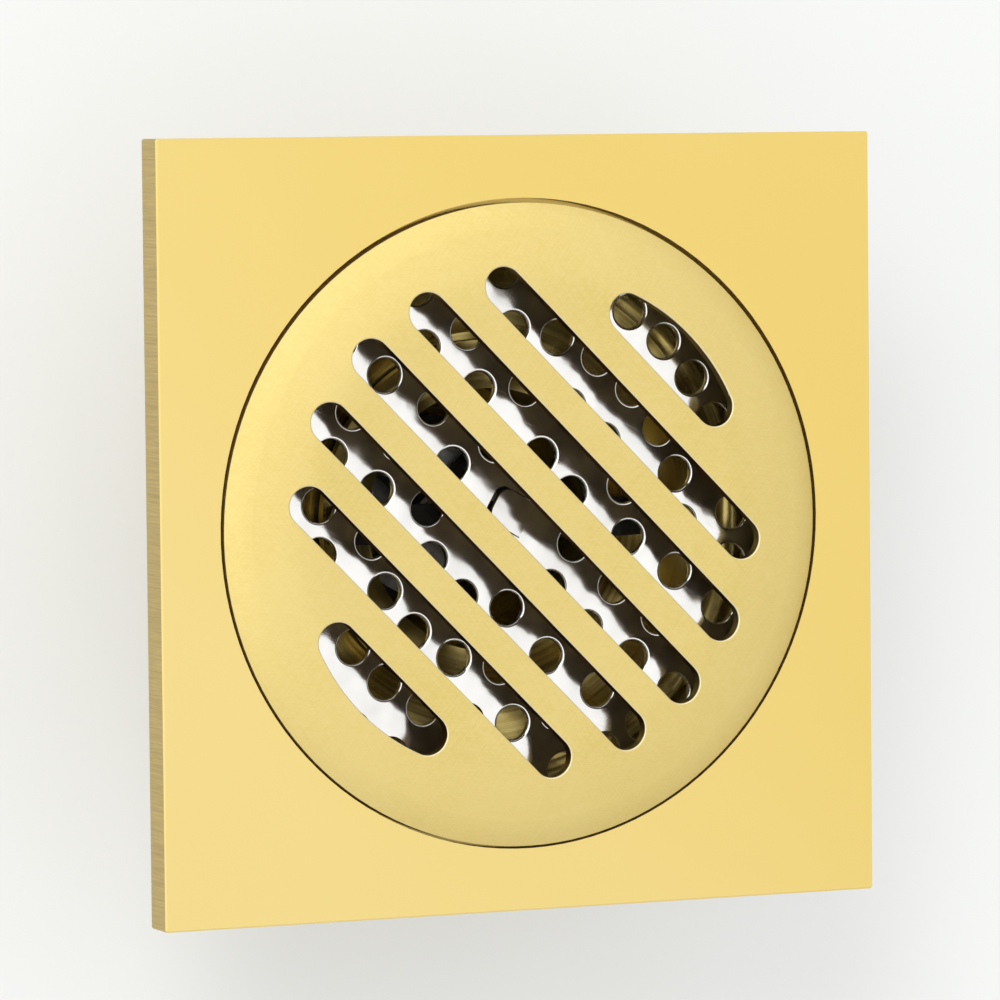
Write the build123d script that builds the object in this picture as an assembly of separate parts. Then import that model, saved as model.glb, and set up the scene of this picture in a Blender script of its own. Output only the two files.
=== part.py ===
"""Square brass floor drain: face plate, lift-out grate, strainer, and a sprung odour trap below.

Millimetres, +Z up. The origin is the centre of the outlet tube's lower end, which the drain stands on.
Depths are counted downwards from the finished face of the plate.
"""
from build123d import *
import math
import os

# ---- overall ----
plate_size = 100.0           # side of the square face plate
drain_height = 52.0          # outlet end to finished face
plate_thickness = 5.0
frame_width = 8.05           # narrowest plate left beside the round opening
plate_corner_radius = 0.35
plate_edge_break = 0.2

# ---- grate seat in the plate ----
grate_seat_depth = 2.6
grate_seat_width = 2.35      # ledge under the grate's rim
grate_clearance = 0.47       # radial, in the plate's opening

# ---- grate ----
grate_rise = 2.4             # flat top above the plate's face
crown_width = 10.2           # gently domed border round the flat middle
crown_tilt = 12.0            # degrees, where the border meets the shoulder
shoulder_width = 3.3         # rounded shoulder between border and rim
grate_wall = 1.6
rim_width = 2.3
grate_shift_y = -0.15        # the loose grate lies this far off centre
slot_width = 5.2
slot_pitch = 9.65
slot_border = 10.98          # rim to the circle of the slots' end centres
crescent_inset = 0.9         # the outermost slots' end centres stop this far short of that circle
slot_shift = -0.52           # the slots lie this far along their own direction from the grate's centre
slot_angle = -45.0           # direction of the slots in the plate's plane
slot_edge_break = 0.2
rim_edge_break = 0.3

# ---- strainer ----
strainer_height = 2.6        # perforated face above the strainer's foot
sheet_thickness = 0.8
bend_radius = 1.4
strainer_play = 1.9          # radial, in the plate's throat
strainer_shift_x = -1.5      # the loose strainer lies against one side
strainer_shift_y = -0.45
hole_radius = 2.2
first_ring_radius = 10.65
ring_pitch = 7.48
ring_counts = (10, 17, 25, 33)
ring_starts = (21.6, 14.8, 13.7, 1.3)
ring_border = 0.9            # flat sheet left outside the last holes
tab_length = 5.25            # lanced lifting tab at the middle
tab_width = 4.8
tab_slit = 0.7               # open slit beyond the tab's tip
tab_gap = 0.15               # cut along its two sides
tab_angle = 150.0
tab_lift = 5.0               # degrees above the sheet
tab_root_radius = 3.76       # tab's root from the strainer's centre
tab_root_angle = 8.7

# ---- body ----
gasket_thickness = 0.5
flange_overlap = 3.5         # flange beyond the plate's opening
flange_thickness = 3.0
screw_offset = 8.0           # screws beyond the plate's opening
ear_radius = 5.5
strainer_recess = 1.0        # strainer's ledge below the flange's top
strainer_seat_width = 3.4
bowl_wall = 2.6
bowl_fall = 7.0              # core seat below the strainer's ledge
bowl_round = 3.0             # rounding between the bowl's wall and floor
funnel_drop = 1.5            # fall of the floor towards the core seat
core_seat_width = 3.5
socket_length = 7.5
braze_gap = 0.05

# ---- outlet tube and its seals ----
tube_radius = 21.0
tube_wall = 2.0
tube_chamfer = 1.0
tube_inner_chamfer = 0.3
seal_names = ("outlet_seal_upper", "outlet_seal_lower")
seal_start = 4.8             # socket's end to the first groove
seal_pitch = 6.0
seal_groove_width = 3.2
seal_groove_depth = 0.8
seal_proud = 1.5
seal_side_gap = 0.1
seal_fit = 0.02

# ---- screws ----
screw_radius = 1.5
thread_gap = 0.05
screw_hole_gap = 0.2
screw_bite = 2.5             # thread held in the plate
screw_hole_spare = 0.5       # blind hole beyond the screw's end
head_radius = 2.75
head_height = 2.0
recess_length = 3.2
recess_width = 0.8
recess_depth = 1.0
washer_thickness = 0.6
washer_radius = 3.2

# ---- odour trap core ----
core_clearance = 0.35        # barrel in the outlet tube
core_wall = 1.5
core_gasket_thickness = 1.0
core_gasket_border = 1.0
core_flange_thickness = 1.5
valve_room_share = 33 / 104  # valve seat above the outlet's end, as a share of the drain's height
cone_length = 5.0
nozzle_length = 6.5
nozzle_radius = 14.4
lip_width = 1.0
lip_height = 1.2
handle_width = 5.0
handle_thickness = 1.6
handle_height = 3.4
handle_peg_radius = 1.2
peg_gap = 0.05
handle_border = 1.2          # core flange left outside the handle

# ---- valve ----
stem_radius = 1.5
stem_gap = 0.06
guide_height = 3.0
guide_ring_width = 1.4
guide_gap = 0.05
guide_arm_width = 1.6
guide_arms = 4
hub_radius = 3.0
hub_height = 5.0
spring_length = 9.0
spring_wire = 0.5
spring_radius = 2.4          # mean
spring_turns = 6.0
cap_radius = 4.2
cap_thickness = 1.0
clip_radius = 3.0
clip_thickness = 0.6
clip_groove_depth = 0.4
stem_above_clip = 1.0
seal_washer_thickness = 0.8
seal_washer_radius = 9.0
valve_gasket_thickness = 1.0
valve_gasket_inset = 0.4     # inside the nozzle's outer edge
disc_thickness = 1.5
disc_inset = 0.2
nut_height = 2.4
nut_across_flats = 5.5
stem_below_nut = 0.6

# ---- what follows from the sizes above ----
opening_radius = plate_size / 2 - frame_width
throat_radius = opening_radius - grate_seat_width
grate_radius = opening_radius - grate_clearance
slot_end_radius = grate_radius - slot_border
strainer_radius = throat_radius - strainer_play
flange_radius = opening_radius + flange_overlap
screw_circle = opening_radius + screw_offset
flange_depth = plate_thickness + gasket_thickness
strainer_seat_depth = flange_depth + strainer_recess
strainer_depth = strainer_seat_depth - strainer_height
bowl_depth = strainer_seat_depth + bowl_fall
socket_end_depth = bowl_depth + socket_length
seal_depths = [socket_end_depth + seal_start + seal_pitch * row for row in range(len(seal_names))]
bowl_radius = throat_radius - strainer_seat_width
tube_bore = tube_radius - tube_wall
core_seat_radius = tube_radius + core_seat_width
core_flange_radius = core_seat_radius - core_gasket_border
core_gasket_depth = bowl_depth - core_gasket_thickness
core_flange_depth = core_gasket_depth - core_flange_thickness
barrel_radius = tube_bore - core_clearance
barrel_bore = barrel_radius - core_wall
nozzle_bore = nozzle_radius - core_wall
lip_bore = nozzle_bore - lip_width
valve_seat_depth = drain_height * (1 - valve_room_share)
nozzle_depth = valve_seat_depth - nozzle_length
cone_depth = nozzle_depth - cone_length
guide_floor_depth = valve_seat_depth - lip_height
hub_top_depth = guide_floor_depth - hub_height
cap_depth = hub_top_depth - spring_length - cap_thickness
clip_depth = cap_depth - clip_thickness
valve_gasket_depth = valve_seat_depth
disc_depth = valve_gasket_depth + valve_gasket_thickness
nut_depth = disc_depth + disc_thickness
stem_bottom_depth = nut_depth + nut_height + stem_below_nut
stem_top_depth = clip_depth - stem_above_clip


def level(depth):
    """Height of a depth below the finished face."""
    return drain_height - depth


def turned(*edges):
    """Solid turned about Z from a closed run of edges drawn as (radius, height)."""
    return revolve(Plane.XZ * make_face(Curve() + list(edges)), Axis.Z)


def turned_outline(outline):
    """Solid turned about Z from (radius, depth) corners."""
    corners = [(radius, level(depth)) for radius, depth in outline]
    return turned(*Polyline(*corners, close=True).edges())


def ring(inner, outer, top_depth, bottom_depth):
    """Plain flat ring."""
    return turned_outline([(inner, top_depth), (outer, top_depth), (outer, bottom_depth), (inner, bottom_depth)])


def rod(radius, top_depth, bottom_depth):
    """Plain round bar on the drain's axis."""
    height = bottom_depth - top_depth
    return Pos(0, 0, level(bottom_depth)) * extrude(Circle(radius), height)


def screw_places():
    """Centres of the four flange screws, on the plate's diagonals."""
    return [Vector(screw_circle, 0).rotate(Axis.Z, 45 + 90 * turn) for turn in range(4)]


def face_plate():
    """Square plate with the grate's counterbore and four blind screw holes beneath."""
    outline = RectangleRounded(plate_size, plate_size, plate_corner_radius)
    plate = Pos(0, 0, level(plate_thickness)) * extrude(outline, plate_thickness)
    rim = plate.faces().sort_by(Axis.Z)[-1].edges()
    plate = chamfer(rim, plate_edge_break)
    plate -= rod(opening_radius, -1, grate_seat_depth)
    plate -= rod(throat_radius, 0, plate_thickness + 1)
    blind_depth = screw_bite + screw_hole_spare
    hole = extrude(Circle(screw_radius + thread_gap), blind_depth)
    for place in screw_places():
        plate -= Pos(place.X, place.Y, level(plate_thickness)) * hole
    return plate


def border_outline(sink):
    """Domed border and shoulder of the grate in section, from the flat top outwards, sunk into the metal."""
    tilt = math.radians(crown_tilt)
    crown_arc = crown_width / math.sin(tilt)
    shoulder_drop = grate_rise - crown_width * math.tan(tilt / 2)
    chord = math.hypot(shoulder_width, shoulder_drop)
    turn = math.atan2(shoulder_drop, shoulder_width) - tilt
    shoulder_arc = chord / (2 * math.sin(turn))
    flat_radius = grate_radius - shoulder_width - crown_width
    crown_z = level(-grate_rise) - crown_arc
    shoulder_x = flat_radius + (crown_arc - shoulder_arc) * math.sin(tilt)
    shoulder_z = crown_z + (crown_arc - shoulder_arc) * math.cos(tilt)

    def on_arc(x, z, radius, angle):
        return (x + (radius - sink) * math.sin(angle), z + (radius - sink) * math.cos(angle))

    start = on_arc(flat_radius, crown_z, crown_arc, 0)
    joint = on_arc(flat_radius, crown_z, crown_arc, tilt)
    end_angle = tilt + 2 * turn
    if sink > 0:
        end_angle = math.asin((grate_radius - rim_width - shoulder_x) / (shoulder_arc - sink))
    end = on_arc(shoulder_x, shoulder_z, shoulder_arc, end_angle)
    crown = RadiusArc(start, joint, crown_arc - sink)
    return crown, RadiusArc(joint, end, shoulder_arc - sink)


def grate_blank():
    """Grate before its slots: flat middle, domed border, rounded shoulder, flush rim, hollow underneath."""
    top = level(-grate_rise)
    seat = level(grate_seat_depth)
    rim_bore = grate_radius - rim_width
    broken = rim_edge_break
    crown, shoulder = border_outline(0)
    inner_crown, inner_shoulder = border_outline(grate_wall)
    rim = Polyline(
        shoulder @ 1,
        (grate_radius, seat + broken),
        (grate_radius - broken, seat),
        (rim_bore, seat),
        inner_shoulder @ 1,
    )
    middle = Polyline(inner_crown @ 0, (0, top - grate_wall), (0, top), crown @ 0)
    return turned(crown, shoulder, *rim.edges(), inner_shoulder, inner_crown, *middle.edges())


def straight_slot(offset):
    """Full slot, drawn along X at an offset in Y, whose end centres lie on the end circle."""
    half_length = math.sqrt(slot_end_radius ** 2 - offset ** 2)
    return Pos(0, offset) * SlotOverall(2 * half_length + slot_width, slot_width)


def crescent_slot(offset):
    """Outermost slot: straight inner side, outer side following the grate's round edge."""
    half_width = slot_width / 2
    half_length = math.sqrt(slot_end_radius ** 2 - offset ** 2) - crescent_inset
    centre = Vector(half_length, abs(offset))
    outward = centre.normalized() * half_width
    tangent = centre + outward
    bisector_angle = (math.degrees(math.atan2(outward.Y, outward.X)) - 90) / 2
    middle = centre + Vector(half_width, 0).rotate(Axis.Z, bisector_angle)
    start = (half_length, abs(offset) - half_width)
    right_end = ThreePointArc(start, tuple(middle), tuple(tangent))
    left_end = mirror(right_end, Plane.YZ)
    back = ThreePointArc(tuple(tangent), (0, slot_end_radius + half_width), (-tangent.X, tangent.Y))
    front = Line(start, (-start[0], start[1]))
    outline = make_face(Curve() + [front, right_end, back, left_end])
    return outline if offset > 0 else Rot(0, 0, 180) * outline


def slot_outlines():
    """All slots, at one pitch; the row nearest the rim on each side is a crescent."""
    rows = int(slot_end_radius / slot_pitch)
    full = [straight_slot(row * slot_pitch) for row in range(1 - rows, rows)]
    outer = [crescent_slot(side * rows * slot_pitch) for side in (-1, 1)]
    return [Rot(0, 0, slot_angle) * Pos(slot_shift, 0) * outline for outline in full + outer]


def follows_circle(edge):
    """Whether an edge runs round the grate's axis, as the joins of its border do."""
    away = [math.hypot((edge @ share).X, (edge @ share).Y) for share in (0, 0.4, 0.7)]
    return max(away) - min(away) < 1e-3


def grate():
    """Lift-out slotted grate."""
    body = grate_blank()
    below = level(grate_seat_depth + 1)
    height = level(-grate_rise - 1) - below
    for outline in slot_outlines():
        body -= Pos(0, 0, below) * extrude(outline, height)
    low = level(-grate_rise) - grate_wall / 2
    upper = [edge for edge in body.edges() if edge.bounding_box().min.Z > low]
    rims = [edge for edge in upper if not follows_circle(edge)]
    body = fillet(rims, slot_edge_break)
    return Pos(0, grate_shift_y, 0) * body


def strainer_dish():
    """Flat sheet with a turned-down skirt that stands on the body's ledge."""
    inner_bend = bend_radius - sheet_thickness
    top = level(strainer_depth)
    under = top - sheet_thickness
    foot = level(strainer_seat_depth)
    flat = strainer_radius - bend_radius
    wall = strainer_radius - sheet_thickness
    bend_z = top - bend_radius
    outside = RadiusArc((flat, top), (strainer_radius, bend_z), bend_radius)
    skirt = Polyline((strainer_radius, bend_z), (strainer_radius, foot), (wall, foot), (wall, bend_z))
    inside = RadiusArc((wall, bend_z), (flat, under), -inner_bend)
    sheet = Polyline((flat, under), (0, under), (0, top), (flat, top))
    return turned(outside, *skirt.edges(), inside, *sheet.edges())


def strainer_holes():
    """Punched holes, in rings about the strainer's centre, as many rings as the sheet takes."""
    punch = extrude(Circle(hole_radius), 2 * sheet_thickness)
    room = strainer_radius - bend_radius - ring_border - hole_radius
    base = level(strainer_depth) - 1.5 * sheet_thickness
    holes = []
    for row, (count, start) in enumerate(zip(ring_counts, ring_starts)):
        radius = first_ring_radius + row * ring_pitch
        if radius <= room:
            turns = [start + 360 / count * index for index in range(count)]
            holes += [Rot(0, 0, turn) * Pos(radius, 0, base) * punch for turn in turns]
    return holes


def lifting_tab():
    """Window and tongue of the tab, drawn along +X from its root at the origin, top face at z = 0."""
    window_length = tab_length + tab_slit
    window = Pos(window_length / 2, 0) * Rectangle(window_length, tab_width + 2 * tab_gap)
    free_corners = window.vertices().group_by(Axis.X)[-1]
    window = fillet(free_corners, tab_width / 3)
    window = Pos(0, 0, -2 * sheet_thickness) * extrude(window, 3 * sheet_thickness)
    root_lap = sheet_thickness / 2
    tongue = Pos((tab_length - root_lap) / 2, 0) * Rectangle(tab_length + root_lap, tab_width)
    tongue = fillet(tongue.vertices().group_by(Axis.X)[-1], tab_width / 3)
    tongue = Pos(0, 0, -sheet_thickness) * extrude(tongue, sheet_thickness)
    return window, Rot(0, -tab_lift, 0) * tongue


def strainer():
    """Perforated stainless dish with a lanced lifting tab."""
    dish = strainer_dish()
    for hole in strainer_holes():
        dish -= hole
    window, tongue = lifting_tab()
    root = Rot(0, 0, tab_root_angle) * Pos(tab_root_radius, 0)
    place = Pos(root.position.X, root.position.Y, level(strainer_depth)) * Rot(0, 0, tab_angle)
    dish = dish - place * window + place * tongue
    return Pos(strainer_shift_x, strainer_shift_y, 0) * dish


def flange_outline(hole_gap):
    """Round flange with four ears on the diagonals, each with a screw hole."""
    outline = Circle(flange_radius)
    for place in screw_places():
        outline += Pos(place.X, place.Y) * Circle(ear_radius)
    outline -= Circle(throat_radius)
    for place in screw_places():
        outline -= Pos(place.X, place.Y) * Circle(screw_radius + hole_gap)
    return outline


def body_gasket():
    """Flat rubber gasket between plate and body."""
    return Pos(0, 0, level(flange_depth)) * extrude(flange_outline(screw_hole_gap), gasket_thickness)


def bowl():
    """Turned bowl: strainer ledge, falling floor, flat core seat and the tube's socket."""
    ledge = strainer_seat_depth
    underside = flange_depth + flange_thickness
    outside = bowl_radius + bowl_wall
    floor_edge = bowl_depth - funnel_drop
    socket = tube_radius + braze_gap
    collar = core_seat_radius
    section = Polyline(
        (bowl_radius, level(floor_edge - bowl_round)),
        (bowl_radius, level(ledge)),
        (throat_radius, level(ledge)),
        (throat_radius, level(flange_depth)),
        (flange_radius - flange_overlap / 2, level(flange_depth)),
        (flange_radius - flange_overlap / 2, level(underside)),
        (outside, level(underside)),
        (outside, level(floor_edge)),
        (outside - bowl_wall, level(floor_edge + bowl_wall)),
        (collar, level(bowl_depth + bowl_wall)),
        (collar, level(socket_end_depth)),
        (socket, level(socket_end_depth)),
        (socket, level(bowl_depth)),
        (core_seat_radius, level(bowl_depth)),
        (bowl_radius - bowl_round, level(floor_edge)),
    )
    corner = RadiusArc(
        (bowl_radius - bowl_round, level(floor_edge)),
        (bowl_radius, level(floor_edge - bowl_round)),
        -bowl_round,
    )
    return turned(*section.edges(), corner)


def drain_body():
    """Cast brass body: bowl, flange and screw ears in one piece."""
    base = level(flange_depth + flange_thickness)
    flange = Pos(0, 0, base) * extrude(flange_outline(screw_hole_gap), flange_thickness)
    return bowl() + flange


def outlet_tube():
    """Brass tube brazed into the body, with two grooves for its seals."""
    corners = [(tube_bore, bowl_depth), (tube_radius, bowl_depth)]
    for top_edge in seal_depths:
        bottom_edge = top_edge + seal_groove_width
        corners.append((tube_radius, top_edge))
        corners.append((tube_radius - seal_groove_depth, top_edge))
        corners.append((tube_radius - seal_groove_depth, bottom_edge))
        corners.append((tube_radius, bottom_edge))
    corners.append((tube_radius, drain_height - tube_chamfer))
    corners.append((tube_radius - tube_chamfer, drain_height))
    corners.append((tube_bore + tube_inner_chamfer, drain_height))
    corners.append((tube_bore, drain_height - tube_inner_chamfer))
    return turned_outline(corners)


def outlet_seal(groove_depth):
    """Rubber ring in a groove of the outlet tube, with a round back."""
    inner = tube_radius - seal_groove_depth + seal_fit
    low = level(groove_depth + seal_groove_width - seal_side_gap)
    high = level(groove_depth + seal_side_gap)
    crown = (tube_radius + seal_proud, (low + high) / 2)
    back = ThreePointArc((tube_radius, high), crown, (tube_radius, low))
    sides = Polyline((tube_radius, low), (inner, low), (inner, high), (tube_radius, high))
    return turned(back, *sides.edges())


def flange_screw():
    """Pan-head screw standing upright on the axis, its head's seat at z = 0."""
    seat = flange_depth + flange_thickness + washer_thickness
    length = seat - plate_thickness + screw_bite
    head = Pos(0, 0, -head_height) * extrude(Circle(head_radius), head_height)
    head = fillet(head.edges().sort_by(Axis.Z)[0], head_height / 2)
    for turn in (0, 90):
        slot = Box(recess_length, recess_width, 2 * recess_depth)
        head -= Pos(0, 0, -head_height) * Rot(0, 0, turn) * slot
    shank = extrude(Circle(screw_radius), length)
    tip = chamfer(shank.edges().sort_by(Axis.Z)[-1], screw_radius / 4)
    return head + tip


def flange_screws():
    """Four screws that hold the body to the plate from below."""
    seat = level(flange_depth + flange_thickness + washer_thickness)
    screw = flange_screw()
    return Compound(children=[Pos(place.X, place.Y, seat) * screw for place in screw_places()])


def screw_washers():
    """Four washers under the screw heads."""
    base = level(flange_depth + flange_thickness + washer_thickness)
    washer = extrude(Circle(washer_radius) - Circle(screw_radius + screw_hole_gap), washer_thickness)
    return Compound(children=[Pos(place.X, place.Y, base) * washer for place in screw_places()])


def handle_peg_radius_from_axis():
    """Distance of the handle's pegs from the drain's axis."""
    return core_flange_radius - handle_border - handle_width / 2


def core_housing():
    """Moulded odour trap housing: flange, barrel, cone and nozzle that ends in the valve seat."""
    housing = turned_outline([
        (barrel_bore, core_flange_depth),
        (core_flange_radius, core_flange_depth),
        (core_flange_radius, core_gasket_depth),
        (barrel_radius, core_gasket_depth),
        (barrel_radius, cone_depth),
        (nozzle_radius, nozzle_depth),
        (nozzle_radius, valve_seat_depth),
        (lip_bore, valve_seat_depth),
        (lip_bore, guide_floor_depth),
        (nozzle_bore, guide_floor_depth),
        (nozzle_bore, nozzle_depth),
        (barrel_bore, cone_depth),
    ])
    hole = rod(handle_peg_radius + peg_gap, core_flange_depth - 1, core_gasket_depth)
    for side in (-1, 1):
        housing -= Pos(side * handle_peg_radius_from_axis(), 0, 0) * hole
    return housing


def core_gasket():
    """Flat rubber ring under the core's flange."""
    return ring(barrel_radius + core_clearance, core_flange_radius, core_gasket_depth, bowl_depth)


def core_handle():
    """Bridge across the core's mouth, pegged into its flange, to pull the core out."""
    reach = handle_peg_radius_from_axis()
    foot = handle_width / 2
    base = level(core_flange_depth)
    top = base + handle_height
    outline = Polyline(
        (-reach - foot, base),
        (-reach - foot, base + handle_thickness),
        (-reach + foot, top),
        (reach - foot, top),
        (reach + foot, base + handle_thickness),
        (reach + foot, base),
        (reach - foot, base),
        (reach - foot - handle_thickness, top - handle_thickness),
        (-reach + foot + handle_thickness, top - handle_thickness),
        (-reach + foot, base),
        close=True,
    )
    bridge = extrude(Plane.XZ * make_face(outline), handle_width / 2, both=True)
    bridge = fillet(bridge.edges().filter_by(Axis.Y).group_by(Axis.Z)[-1], handle_thickness / 2)
    peg = rod(handle_peg_radius, core_flange_depth, core_gasket_depth)
    for side in (-1, 1):
        bridge += Pos(side * reach, 0, 0) * peg
    return bridge


def stem_guide():
    """Spoked ring on the nozzle's lip, whose hub guides the valve stem."""
    outer = nozzle_bore - guide_gap
    top = guide_floor_depth - guide_height
    guide = ring(outer - guide_ring_width, outer, top, guide_floor_depth)
    hub = rod(hub_radius, hub_top_depth, guide_floor_depth)
    arm_length = outer - guide_ring_width / 2
    arm = Pos(arm_length / 2, 0, level(guide_floor_depth) + guide_height / 2)
    arm = arm * Box(arm_length, guide_arm_width, guide_height)
    for index in range(guide_arms):
        guide += Rot(0, 0, 45 + 360 / guide_arms * index) * arm
    return guide + hub - rod(stem_radius + stem_gap, hub_top_depth - 1, guide_floor_depth + 1)


def valve_stem():
    """Steel rod with a groove for its clip."""
    groove = stem_radius - clip_groove_depth
    end_break = stem_radius / 5
    return turned_outline([
        (0, stem_top_depth),
        (stem_radius - end_break, stem_top_depth),
        (stem_radius, stem_top_depth + end_break),
        (stem_radius, clip_depth),
        (groove, clip_depth),
        (groove, clip_depth + clip_thickness),
        (stem_radius, clip_depth + clip_thickness),
        (stem_radius, stem_bottom_depth - end_break),
        (stem_radius - end_break, stem_bottom_depth),
        (0, stem_bottom_depth),
    ])


def stem_clip():
    """Open retaining clip in the stem's groove."""
    outline = Circle(clip_radius) - Circle(stem_radius - clip_groove_depth)
    mouth = stem_radius
    outline -= Pos(clip_radius, 0) * Rectangle(2 * clip_radius, mouth)
    return Pos(0, 0, level(clip_depth + clip_thickness)) * extrude(outline, clip_thickness)


def spring_cap():
    """Flanged cap that the clip holds down on the spring."""
    bore = stem_radius + stem_gap
    skirt_bore = spring_radius + spring_wire / 2 + stem_gap
    skirt = cap_depth + 2 * cap_thickness
    return turned_outline([
        (bore, cap_depth),
        (cap_radius, cap_depth),
        (cap_radius, skirt),
        (skirt_bore, skirt),
        (skirt_bore, cap_depth + cap_thickness),
        (bore, cap_depth + cap_thickness),
    ])


def valve_spring():
    """Compression spring between the guide's hub and the cap."""
    wire = spring_wire / 2
    bottom = level(hub_top_depth) + wire
    rise = spring_length - spring_wire
    path = Pos(0, 0, bottom) * Helix(rise / spring_turns, rise, spring_radius)
    section = Plane(origin=path @ 0, z_dir=path % 0) * Circle(wire)
    return sweep(section, path=path, is_frenet=True)


def seal_washer():
    """Steel washer that clamps the valve's gasket from above."""
    top = valve_gasket_depth - seal_washer_thickness
    return ring(stem_radius + stem_gap, seal_washer_radius, top, valve_gasket_depth)


def valve_gasket():
    """Silicone disc that closes against the nozzle's end."""
    outer = nozzle_radius - valve_gasket_inset
    return ring(stem_radius + stem_gap, outer, valve_gasket_depth, disc_depth)


def valve_disc():
    """Stiff backing disc under the gasket, with a bevelled lower edge."""
    outer = nozzle_radius - disc_inset
    bevel = disc_thickness / 2
    return turned_outline([
        (stem_radius + stem_gap, disc_depth),
        (outer, disc_depth),
        (outer, disc_depth + bevel),
        (outer - 2 * bevel, nut_depth),
        (stem_radius + stem_gap, nut_depth),
    ])


def stem_nut():
    """Hexagon nut that holds the disc on the stem."""
    hexagon = RegularPolygon(nut_across_flats / 2, 6, major_radius=False)
    outline = hexagon - Circle(stem_radius + stem_gap)
    return Pos(0, 0, level(nut_depth + nut_height)) * extrude(outline, nut_height)


nodes = {
    "face_plate": face_plate(),
    "grate": grate(),
    "strainer": strainer(),
    "body_gasket": body_gasket(),
    "drain_body": drain_body(),
    "outlet_tube": outlet_tube(),
    "flange_screws": flange_screws(),
    "screw_washers": screw_washers(),
    "core_housing": core_housing(),
    "core_gasket": core_gasket(),
    "core_handle": core_handle(),
    "stem_guide": stem_guide(),
    "valve_stem": valve_stem(),
    "stem_clip": stem_clip(),
    "spring_cap": spring_cap(),
    "valve_spring": valve_spring(),
    "seal_washer": seal_washer(),
    "valve_gasket": valve_gasket(),
    "valve_disc": valve_disc(),
    "stem_nut": stem_nut(),
}
for name, groove_depth in zip(seal_names, seal_depths):
    nodes[name] = outlet_seal(groove_depth)

os.makedirs("parts", exist_ok=True)
for name, shape in nodes.items():
    export_step(shape, f"parts/{name}.step")
    print(f"{name}: {len(shape.solids())} solid(s), {shape.volume:.1f} mm3")
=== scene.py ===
# %% [markdown]
# A square brass floor drain, seen from above. The fixed parts come in ready made, each where it belongs;
# this lesson gives every one of them its finish, and makes the pieces that need finer work:
# the punched strainer, the screws, their washers and the valve's spring.

# %% Bring in the drain
import math
import bmesh
import bpy
from mathutils import Matrix, Vector


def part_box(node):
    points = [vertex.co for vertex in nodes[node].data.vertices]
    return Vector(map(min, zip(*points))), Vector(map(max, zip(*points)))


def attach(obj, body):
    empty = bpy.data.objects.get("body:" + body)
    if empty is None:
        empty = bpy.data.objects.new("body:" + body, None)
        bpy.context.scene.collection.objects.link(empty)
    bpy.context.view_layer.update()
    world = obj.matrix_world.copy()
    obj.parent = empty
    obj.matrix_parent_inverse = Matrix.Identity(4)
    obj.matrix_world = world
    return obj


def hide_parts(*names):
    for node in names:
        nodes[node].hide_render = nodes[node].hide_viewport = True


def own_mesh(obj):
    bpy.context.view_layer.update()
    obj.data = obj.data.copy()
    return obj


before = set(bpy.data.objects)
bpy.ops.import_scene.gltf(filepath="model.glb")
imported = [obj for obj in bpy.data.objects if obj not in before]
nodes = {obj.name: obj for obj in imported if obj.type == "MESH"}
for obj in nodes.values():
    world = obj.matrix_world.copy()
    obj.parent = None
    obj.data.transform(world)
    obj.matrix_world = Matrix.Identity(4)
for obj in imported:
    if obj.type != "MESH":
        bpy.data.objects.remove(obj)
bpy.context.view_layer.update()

MM = 0.001
plate_low, plate_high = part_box("face_plate")
face_z = plate_high.z
print("its face is at", round(face_z, 4), "m")

# %% [markdown]
# A finish is a tree of shader nodes. Short helpers keep each tree readable: one adds a node and fills its
# sockets, some do sums, stretch a range or mix colours, and one starts a finish with its shader and the
# piece's own coordinates. Object coordinates are used throughout, so a pattern keeps its size in metres on
# every piece. Two more say where on a piece a point is: how far it faces up, and how far it is from the axis.

# %% Helpers for node trees
def fill(tree, node, inputs):
    """Fills a node's sockets; an input may be a value or another node's output."""
    for key, value in inputs.items():
        if isinstance(value, bpy.types.NodeSocket):
            tree.links.new(value, node.inputs[key])
        else:
            node.inputs[key].default_value = value


def add(tree, kind, inputs=None, **settings):
    """Adds a node with its settings and inputs."""
    node = tree.nodes.new(kind)
    for name, value in settings.items():
        setattr(node, name, value)
    fill(tree, node, inputs or {})
    return node


def sums(tree, operation, *values, kind="ShaderNodeMath"):
    """One step of arithmetic on numbers or vectors."""
    return add(tree, kind, dict(enumerate(values)), operation=operation).outputs[0]


def spread(tree, value, low, high, to_low=0.0, to_high=1.0, smooth=True):
    """Stretches a value's range from low..high to another one."""
    shape = "SMOOTHSTEP" if smooth else "LINEAR"
    ends = {0: value, 1: low, 2: high, 3: to_low, 4: to_high}
    return add(tree, "ShaderNodeMapRange", ends, interpolation_type=shape).outputs[0]


def blend_colours(tree, mask, first, second):
    """Mixes two colours by a mask."""
    return add(tree, "ShaderNodeMix", {0: mask, 6: first, 7: second}, data_type="RGBA").outputs[2]


def facing_up(tree):
    """How far the surface faces up: 1 upwards, 0 upright, -1 downwards."""
    normal = add(tree, "ShaderNodeNewGeometry").outputs["True Normal"]
    return add(tree, "ShaderNodeSeparateXYZ", {0: normal}).outputs[2]


def away_from_axis(tree, place):
    """Distance from the upright axis through the origin."""
    parts = add(tree, "ShaderNodeSeparateXYZ", {0: place}).outputs
    flat = add(tree, "ShaderNodeCombineXYZ", {0: parts[0], 1: parts[1]}).outputs[0]
    return add(tree, "ShaderNodeVectorMath", {0: flat}, operation="LENGTH").outputs["Value"]


def start_finish(name, **plain):
    """New material: its tree, its shader with plain socket values, and the piece's coordinates."""
    material = bpy.data.materials.new(name)
    material.use_nodes = True
    tree = material.node_tree
    tree.nodes.clear()
    named = {key.replace("_", " "): value for key, value in plain.items()}
    surface = add(tree, "ShaderNodeBsdfPrincipled", named)
    add(tree, "ShaderNodeOutputMaterial", {"Surface": surface.outputs[0]})
    place = add(tree, "ShaderNodeTexCoord").outputs["Object"]
    return material, tree, surface, place


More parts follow.
